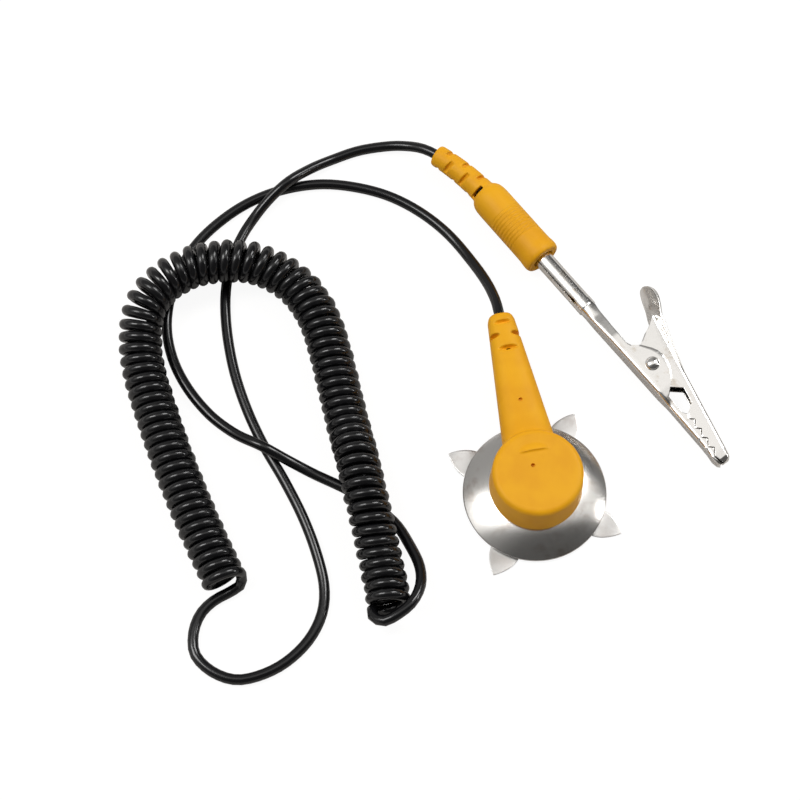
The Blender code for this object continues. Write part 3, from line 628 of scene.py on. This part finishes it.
def makePlug():
    outline = [(-34.3, 2.0), (-34.1, 2.3), (-33.6, 2.45), (-31.0, 2.5), (-27.0, 2.6), (-23.0, 2.7),
               (-20.9, 2.78), (-20.4, 3.0), (-19.9, 3.45), (-19.2, 3.8), (-18.3, 3.98), (-17.0, 4.05),
               (-12.0, 4.05), (-6.0, 4.05), (-3.0, 4.07), (-1.9, 4.2), (-0.9, 4.22), (-0.35, 4.05),
               (-0.08, 3.85), (0.0, 3.6)]
    places = [x for x, _ in outline] + [-34.0 + 0.7 * k for k in range(1, 48)]
    places = sorted({round(x, 2) for x in places if x <= 0})
    body = ringMesh("plug_mould", tubeRings([plugLine(x) for x in places], [between(outline, x) for x in places]))
    plug = newPiece("plug_mould", body, yellowPlug, plugFrame)
    cuts = []
    for name, low, high, wide in (("mouth", -3.4, 2.0, 2.42), ("cavity", -21.3, -3.0, 2.35)):
        rod = turnedMesh(name, [(0, high), (wide, high), (wide, low), (0, low)], 0, 48)
        cuts.append(newPiece(name, rod, None, plugFrame @ alongX))
    bore = [plugLine(x) for x in (-36.0, -33.0, -30.0, -27.0, -24.0, -20.5)]
    cuts.append(newPiece("bore", ringMesh("bore", tubeRings(bore, [plugShape["bore"]] * 6)), None, plugFrame))
    for i in range(6):
        centre = plugLine(-31.8 + 2.2 * i)
        for half in (0, 180):
            place = plugFrame @ shift(*centre) @ turnAbout("X", (45 if i % 2 else 135) + half)
            cuts.append(newPiece("slot", boxMesh("slot", (-0.42, -1.7, 1.8), (0.42, 1.7, 4.0)), None, place))
    carved(plug, [], cuts, plugShape["voxel"], 3)
    return standsFor(plug, "lead", "yellow_pvc", "plug_overmould")


plug = makePlug()
print("plug made:", len(plug.data.polygons), "faces")

# Contact disc and its clawed plate

discShape = {"radius": 15.0, "rise": 3.2, "rim": 1.15, "sheet": 0.4, "pad": 5.0}
clawShape = {"first": 63.7, "count": 4, "tip": 19.9, "rootHalf": 3.0, "ring": 14.6, "ringTop": 0.45,
             "root": 13.4, "swell": 14.3}


def domed(radius, top, rim):
    outward = max(0.0, radius - discShape["pad"]) / (rim - discShape["pad"])
    return top + discShape["rise"] * (1 - outward ** 2)


def dishProfile(top, rim, beyond=()):
    upper = [(radius, domed(radius, top, rim)) for radius in
             [2.5, 4.0, 5.0] + [5.0 + (rim - 5.0) * k / 28 for k in range(1, 29)]]
    upper += list(beyond)
    return upper + [(radius, height - discShape["sheet"]) for radius, height in reversed(upper)]


def makeDisc():
    disc = newPiece("contact_dish", turnedMesh("contact_dish", dishProfile(discShape["rim"], discShape["radius"]),
                                               0.12, 160), discSteel)
    return standsFor(disc, "disc", "stainless_sheet", "contact_disc")


def makeClaws():
    shape = clawShape
    ringProfile = dishProfile(shape["ringTop"], 13.2, [(shape["ring"], shape["ringTop"])])
    plate = newPiece("claw_ring", turnedMesh("claw_ring", ringProfile, 0.1, 128), clawSteel)
    shells = []
    for i in range(shape["count"]):
        rows = []
        for k in range(25):
            t = k / 24
            reach = shape["root"] + (shape["tip"] - shape["root"]) * t
            out = max(0.0, (reach - shape["swell"]) / (shape["tip"] - shape["swell"]))
            half = shape["rootHalf"] * (1 - out ** 1.9) + 0.12 * (1 - out ** 12)
            lift = 0.22 + 0.16 * eased((reach - 15.2) / 4.0)  # the points rise a little
            rows.append([(reach, half * side, lift + 0.1 * (1 - side * side) * (1 - out))
                         for side in [-1 + 0.2 * n for n in range(11)]])
        shells.append(sheetPiece("claw", rows, 0.36, clawSteel, turnAbout("Z", shape["first"] + 90 * i), 0.09))
    plate = merged("claws", [plate, *shells], clawSteel, Matrix())
    return standsFor(plate, "disc", "stainless_sheet", "claw_plate")


def turnedPiece(name, profile, finish, place, body, slotName, node, fillet=0.12, steps=96):
    made = newPiece(name, turnedMesh(name, profile, fillet, steps), finish, place)
    return standsFor(made, body, slotName, node)


makeDisc()
makeClaws()

# Snap: stud and eyelet on the disc, cup and ring spring in the head

base = 4.65
studProfile = [(0, base + 3.85), (3.6, base + 3.85), (4.6, base + 3.35), (4.95, base + 2.55),
               (4.35, base + 1.5), (4.35, base + 0.6), (5.2, base + 0.4), (5.2, base), (2.25, base),
               (2.25, base + 0.4), (3.9, base + 0.4), (3.9, base + 1.6), (4.4, base + 2.6),
               (3.5, base + 3.4), (0, base + 3.4)]
turnedPiece("stud", studProfile, nickel, Matrix(), "disc", "nickel_plate", "snap_stud", 0.2)
eyeletProfile = [(1.6, 5.7), (3.0, 5.7), (3.0, 5.4), (2.0, 5.4), (2.0, 2.9), (4.2, 2.9), (4.2, 2.5), (1.6, 2.5)]
turnedPiece("eyelet", eyeletProfile, brass, Matrix(), "disc", "brass", "stud_eyelet", 0.1)
cupProfile = [(0, 10.45), (1.1, 10.45), (1.1, 9.25), (6.9, 9.25), (6.9, 5.0), (5.55, 5.0), (5.55, 5.45),
              (6.1, 5.45), (6.1, 6.75), (5.4, 6.75), (5.4, 8.85), (0, 8.85)]
turnedPiece("snap_cup", cupProfile, nickel, headFrame, "lead", "nickel_plate", "socket_cup", 0.2)


def wirePiece(name, points, radius, finish, place, body, node):
    curve = bpy.data.curves.new(name, "CURVE")
    curve.dimensions = "3D"
    curve.bevel_depth = radius * mm
    curve.bevel_resolution = 5
    curve.use_fill_caps = True
    spline = curve.splines.new("POLY")
    spline.points.add(len(points) - 1)
    for point, spot in zip(spline.points, points):
        point.co = (*(Vector(spot) * mm), 1.0)
    spline.use_smooth = True
    made = newPiece(name, curve, finish, place)
    return standsFor(made, body, "spring_steel", node)


opening = math.radians(40)
ringLine = [(5.25 * math.cos(a), 5.25 * math.sin(a), 6.1) for a in
            (math.pi + opening / 2 + (2 * math.pi - opening) * i / 60 for i in range(61))]
wirePiece("ring_spring", ringLine, 0.4, springSteel, headFrame, "snap_ring", "snap_ring_spring")
print("disc and snap made")

# Plug pin and its lantern spring

pinProfile = [(0, 15.6), (0.7, 15.6), (1.25, 14.9), (1.25, 14.1), (0.75, 13.8), (0.75, -2.5),
              (2.0, -2.9), (2.0, -14.0), (0, -14.0)]
turnedPiece("pin", pinProfile, nickel, plugFrame @ alongX, "lead", "nickel_plate", "plug_pin", 0.15, 64)


def makeCage():
    profile = [(1.05, 13.5), (1.25, 13.5), (1.3, 11.5), (1.5, 8.5), (1.5, 5.5), (1.3, 2.0), (1.25, 0.2),
               (1.05, 0.2), (1.1, 2.0), (1.28, 5.5), (1.28, 8.5), (1.1, 11.5)]
    cage = newPiece("pin_cage", turnedMesh("pin_cage", profile, 0.05, 72), brass, plugFrame @ alongX)
    cuts = [newPiece("window", boxMesh("window", (2.6, -0.3, -3.0), (11.2, 0.3, 3.0)), None,
                     plugFrame @ turnAbout("X", 45 + 90 * i)) for i in range(2)]
    carved(cage, [], cuts, None, 0, 35)
    return standsFor(cage, "pin_cage", "brass", "lantern_spring")


makeCage()

# Alligator clip: local X runs along it, Y towards the moving jaw, Z along the rivet

clipShape = {"sheet": 0.42, "rivet": (33.9, 1.95), "cheekHalf": 2.6, "toothStart": 47.8,
             "toothPitch": 2.4, "toothCount": 5, "toothDepth": 0.9, "barrel": 2.05, "seam": 139.0}


def toothLine(offset):
    points = []
    for i in range(clipShape["toothCount"]):
        x = clipShape["toothStart"] + clipShape["toothPitch"] * i
        middle = 0.35 - 0.133 * (x - clipShape["toothStart"]) + offset
        points.append((x, middle - clipShape["toothDepth"] / 2))
        if i < clipShape["toothCount"] - 1:
            points.append((x + 0.4 * clipShape["toothPitch"], middle + clipShape["toothDepth"] / 2))
    return points


fixedTop = [(13.2, 2.1), (16.0, 2.0), (18.0, 1.4), (19.2, 1.1), (21.8, 0.9), (26.8, 0.75), (27.9, 1.2),
            (29.1, 2.75), (31.2, 4.2), (32.4, 4.75), (33.7, 4.95), (35.3, 4.8), (36.9, 4.3), (38.9, 3.0),
            (40.7, 0.75), (41.3, -0.05), (45.9, -0.1), (46.9, 0.55), *toothLine(0.0), (59.1, -1.05),
            (59.4, -1.15)]
fixedFloor = [(13.2, -1.75), (24.0, -1.5), (42.2, -1.43), (55.0, -1.6), (57.6, -1.85), (59.0, -1.72),
              (59.4, -1.35)]
fixedHalf = [(13.2, 1.95), (18.0, 2.15), (24.0, 2.6), (39.6, 2.6), (41.2, 2.3), (43.0, 1.8), (57.0, 1.8),
             (58.6, 1.62), (59.4, 1.2)]
movingBack = [(25.4, 9.66), (58.6, 1.6), (59.1, 1.42), (59.4, 1.1)]
movingLow = [(25.4, 9.2), (25.9, 8.4), (26.9, 6.8), (27.6, 5.1), (28.6, 3.4), (29.4, 1.6), (30.6, 0.35),
             (32.0, -0.2), (35.2, -0.5), (37.2, -0.25), (38.6, 0.3), (40.4, 2.1), (41.9, 3.7), (45.6, 2.85),
             (46.7, 0.9), *toothLine(0.32), (59.1, -0.6), (59.4, -0.4)]
movingHalf = [(25.4, 1.8), (57.0, 1.8), (58.6, 1.6), (59.4, 1.25)]


def channelSection(edge, floor, half, corner=0.55):  # from one wall's edge round the floor to the other's
    side = 1 if edge > floor else -1
    tall = abs(edge - floor)
    corner = min(corner, 0.8 * half, 0.8 * tall)
    points = [(edge + (floor + side * corner - edge) * k / 6, half) for k in range(6)]
    for k in range(6):
        angle = math.radians(18 * k)
        points.append((floor + side * corner * (1 - math.sin(angle)), half - corner * (1 - math.cos(angle))))
    points += [(floor, (half - corner) * (1 - k / 4)) for k in range(1, 4)]
    return points + [(floor, 0.0)] + [(t, -w) for t, w in reversed(points)]


def stationsOf(low, high, step, *outlines):
    marks = {round(x, 3) for outline in outlines for x, _ in outline if low <= x <= high}
    count = math.ceil((high - low) / step)
    marks |= {round(low + (high - low) * k / count, 3) for k in range(count + 1)}
    result = []
    for mark in sorted(marks):
        if not result or mark - result[-1] > 0.04:
            result.append(mark)
    return result


def makeFixedJaw():
    wall = clipShape["sheet"] / 2
    rows = []
    for x in stationsOf(13.2, 59.4, 0.45, fixedTop, fixedFloor):
        half = between(fixedHalf, x) - wall
        section = channelSection(between(fixedTop, x), between(fixedFloor, x) + wall, half)
        closing = 1 - eased((x - 14.0) / 6.0)  # the neck is rolled nearly shut, then opens into the channel
        if closing > 0:
            gap = math.radians(28 + 62 * eased((x - 13.2) / 6.0))
            round_ = 2.02 - wall
            count = len(section)
            rolled = [(0.15 - round_ * math.cos(a), round_ * math.sin(a)) for a in
                      ((math.pi - gap) * (1 - 2 * k / (count - 1)) for k in range(count))]
            section = [(t + (rt - t) * closing, w + (rw - w) * closing)
                       for (t, w), (rt, rw) in zip(section, rolled)]
        rows.append([(x, t, w) for t, w in section])
    channel = sheetPiece("channel", rows, clipShape["sheet"], nickel, clipFrame)
    rows = []
    middle = clipShape["barrel"] - 0.16
    for x in [-2.6 + 0.5 * k for k in range(36)]:
        slit = 3.2 + 6.5 * math.exp(-((x - 11.8) / 0.9) ** 2) if x < 12.9 else 1.2
        bell = 1 + 0.02 * eased((x - 12.0) / 3.0)
        angles = [clipShape["seam"] + slit + (360 - 2 * slit) * k / 72 for k in range(73)]
        rows.append([(x, middle * bell * math.cos(math.radians(a)), middle * bell * math.sin(math.radians(a)))
                     for a in angles])
    barrel = sheetPiece("barrel", rows, 0.3, nickel, clipFrame, 0.05)
    jaw = merged("fixed_jaw", [barrel, channel], nickel, clipFrame)
    return standsFor(jaw, "clip", "nickel_plate", "clip_fixed_jaw")


thumbStations = [(39.0, 6.13, 1.5, 0, 0), (36.5, 6.75, 2.1, 5, 0), (32.0, 7.85, 2.9, 12, 0),
                 (28.5, 8.7, 3.5, 16, 0.1), (26.0, 9.3, 3.8, 17, 0.3), (24.2, 9.95, 4.0, 18, 0.6),
                 (22.5, 10.55, 4.05, 18, 0.9), (21.1, 11.05, 3.7, 18, 0.8), (19.9, 11.45, 2.8, 18, 0.5),
                 (19.15, 11.7, 1.7, 18, 0.2), (18.85, 11.8, 0.7, 18, 0.05)]


def thumbRows():
    rows = []
    places = [i / 6 for i in range(6 * (len(thumbStations) - 1) + 1)]
    tables = [[(i, station[n]) for i, station in enumerate(thumbStations)] for n in range(5)]

    def at(n, place):  # smooth in between the stations
        i = min(int(place), len(thumbStations) - 2)
        t = place - i
        values = [tables[n][min(max(k, 0), len(thumbStations) - 1)][1] for k in (i - 1, i, i + 1, i + 2)]
        a, b, c, d = values
        return 0.5 * (2 * b + (c - a) * t + (2 * a - 5 * b + 4 * c - d) * t * t + (3 * b - a - 3 * c + d) * t ** 3)

    last = places[-1]
    for place in places:
        before, after = max(place - 0.2, 0), min(place + 0.2, last)
        along = Vector((at(0, after) - at(0, before), at(1, after) - at(1, before), 0)).normalized()
        outward = Matrix.Rotation(math.radians(at(3, place)), 3, along) @ Vector((0, 0, 1)).cross(along)
        if outward.y < 0:
            outward = -outward
        wide = outward.cross(along)
        middle = Vector((at(0, place), at(1, place), 0))
        half, dish = max(0.3, at(2, place)), at(4, place)
        row = []
        for k in range(17):
            t = -1 + k / 8
            dimple = 0.28 * math.exp(-(((at(0, place) - 23.2) / 0.7) ** 2 + ((t * half) / 0.7) ** 2))
            crease = 0.22 * math.exp(-((at(0, place) - 25.0 - 0.5 * abs(t * half)) / 0.45) ** 2)
            row.append(middle + wide * t * half + outward * (dish * t * t - dimple - crease))
        rows.append(row)
    return rows


def makeMovingJaw():
    wall = clipShape["sheet"] / 2
    rows = []
    for x in stationsOf(25.4, 59.4, 0.45, movingBack, movingLow):
        section = channelSection(between(movingLow, x), between(movingBack, x) - wall,
                                 between(movingHalf, x) - wall)
        rows.append([(x, t, w) for t, w in section])
    channel = sheetPiece("channel", rows, clipShape["sheet"], nickel, clipFrame)
    tab = sheetPiece("tab", thumbRows(), clipShape["sheet"], nickel, clipFrame)
    hinge = clipFrame @ shift(*clipShape["rivet"], 0)
    jaw = merged("moving_jaw", [channel, tab], nickel, hinge)
    return standsFor(jaw, "jaw", "nickel_plate", "clip_moving_jaw")


makeFixedJaw()
makeMovingJaw()

headLow = clipShape["cheekHalf"] + 0.06
rivetProfile = [(0, headLow + 0.85), (0.5, headLow + 0.8), (1.0, headLow + 0.62), (1.4, headLow + 0.3),
                (1.55, headLow), (0.95, headLow), (0.95, -headLow), (1.55, -headLow), (1.4, -headLow - 0.3),
                (1.0, -headLow - 0.62), (0.5, -headLow - 0.8), (0, -headLow - 0.85)]
turnedPiece("rivet", rivetProfile, nickel, clipFrame @ shift(*clipShape["rivet"], 0), "clip", "nickel_plate",
            "clip_rivet", 0.1, 64)

springShape = {"radius": 1.55, "wire": 0.22, "turns": 3, "half": 0.85, "first": 205, "last": 118}
sweep = math.radians(springShape["last"] - springShape["first"] + 360 * springShape["turns"])
springLine = [(-8.0, -2.45, -springShape["half"]), (-3.0, -2.0, -springShape["half"])]
for i in range(91):
    angle = math.radians(springShape["first"]) + sweep * i / 90
    springLine.append((springShape["radius"] * math.cos(angle), springShape["radius"] * math.sin(angle),
                       springShape["half"] * (i / 45 - 1)))
springLine += [(-3.4, 3.8, springShape["half"]), (-6.6, 6.0, springShape["half"])]
wirePiece("jaw_spring", springLine, springShape["wire"], springSteel, clipFrame @ shift(*clipShape["rivet"], 0),
          "clip", "clip_spring")
print("clip made")

# Pieces that keep their own shape and get a finish

keptFinishes = {"solder_tab": tinned, "resistor_body": lacquer, "resistor_lead_tab_side": tinned,
                "resistor_lead_cord_side": tinned, "head_crimp_sleeve": tinned, "head_conductor": brass,
                "plug_ferrule": tinned, "plug_conductor": brass}
for name, finish in keptFinishes.items():
    node = bpy.data.objects[name] if name in bpy.data.objects else frame["nodes"][name]
    if node.material_slots:
        for spot in node.material_slots:
            spot.material = finish
    else:
        node.data.materials.append(finish)

# Floor and light

studio = {"floor": 2.0, "paper": (0.52, 0.50, 0.48), "fibre": (0.55, 0.53, 0.51), "bright": 0.93,
          "share": 0.78, "below": -0.02}


def makeFloor():
    made = Finish("paper", {"Specular IOR Level": 0.1})
    fibre = made.noise(made.place, 60.0, 4.0)
    made.varies("Base Color", made.blend(fibre, studio["paper"], studio["fibre"]))
    made.varies("Roughness", 0.7 + 0.1 * fibre)
    glow = {"Color": (1, 1, 1, 1), "Strength": studio["bright"] / studio["share"]}
    white = made.node("ShaderNodeEmission", {}, glow)
    seen = made.node("ShaderNodeLightPath", output=0) * studio["share"]  # paper burnt out to white
    mixed = made.node("ShaderNodeMixShader", {}, {0: seen, 1: Wire(made, made.surface.outputs[0]), 2: white})
    made.feed(made.tree.nodes["Material Output"].inputs["Surface"], mixed)
    half, below = studio["floor"] / mm / 2, studio["below"]
    corners = [(-half, -half, below), (half, -half, below), (half, half, below), (-half, half, below)]
    floor = newPiece("floor", meshFrom("floor", corners, [(0, 1, 2, 3)]), made.material)


skyTone = {"front": 0.09, "left": 0.36, "strip": 0.82, "stripMiddle": 0.12, "stripLean": 0.15,
           "horizon": 0.8, "colour": (1.0, 0.985, 0.965, 1.0)}


def makeSky():
    world = bpy.data.worlds.new("studio")
    scene.world = world
    world.use_nodes = True
    sky = Graph(world.node_tree)
    direction = sky.node("ShaderNodeTexCoord", output=0)
    x, y, z = sky.axes(direction)
    leftness = z * 0.3 + y * 0.45 - x * 0.8
    light = sky.smoothStep(leftness, 0.1, 0.75, skyTone["front"], skyTone["left"])
    across = y - skyTone["stripLean"] * x - skyTone["stripMiddle"]
    nearEdge = sky.smoothStep(across, -0.36, -0.2)  # a wide soft box overhead, from left to right
    farEdge = sky.smoothStep(across, 0.16, 0.32, 1.0, 0.0)
    light = light + nearEdge * farEdge * sky.smoothStep(z, 0.3, 0.6) * skyTone["strip"]
    light = light + sky.smoothStep(z, 0.0, 0.22, skyTone["horizon"], 0.0)
    background = world.node_tree.nodes["Background"]
    background.inputs["Color"].default_value = skyTone["colour"]
    sky.feed(background.inputs["Strength"], light)


lampAim = (-0.02, 0.02, 0)  # metres, the middle of the object
lamps = {"soft_left": {"place": (-0.55, 0.02, 0.88), "size": (0.28, 0.5), "power": 3.6},
         "soft_right": {"place": (0.48, 0.42, 0.85), "size": (0.3, 0.5), "power": 4.2},
         "low_right": {"place": (0.98, 0.05, 0.45), "size": (0.16, 0.16), "power": 1.2}}


def makeLamp(name, place, aim, size, power):
    data = bpy.data.lights.new(name, "AREA")
    data.shape, data.size, data.size_y, data.energy = "RECTANGLE", size[0], size[1], power
    lamp = bpy.data.objects.new(name, data)
    scene.collection.objects.link(lamp)
    lamp.location = place
    lamp.rotation_euler = (Vector(aim) - Vector(place)).to_track_quat("-Z", "Y").to_euler()


makeFloor()
makeSky()
for name, lamp in lamps.items():
    makeLamp(name, lamp["place"], lampAim, lamp["size"], lamp["power"])
print("stage and light made")
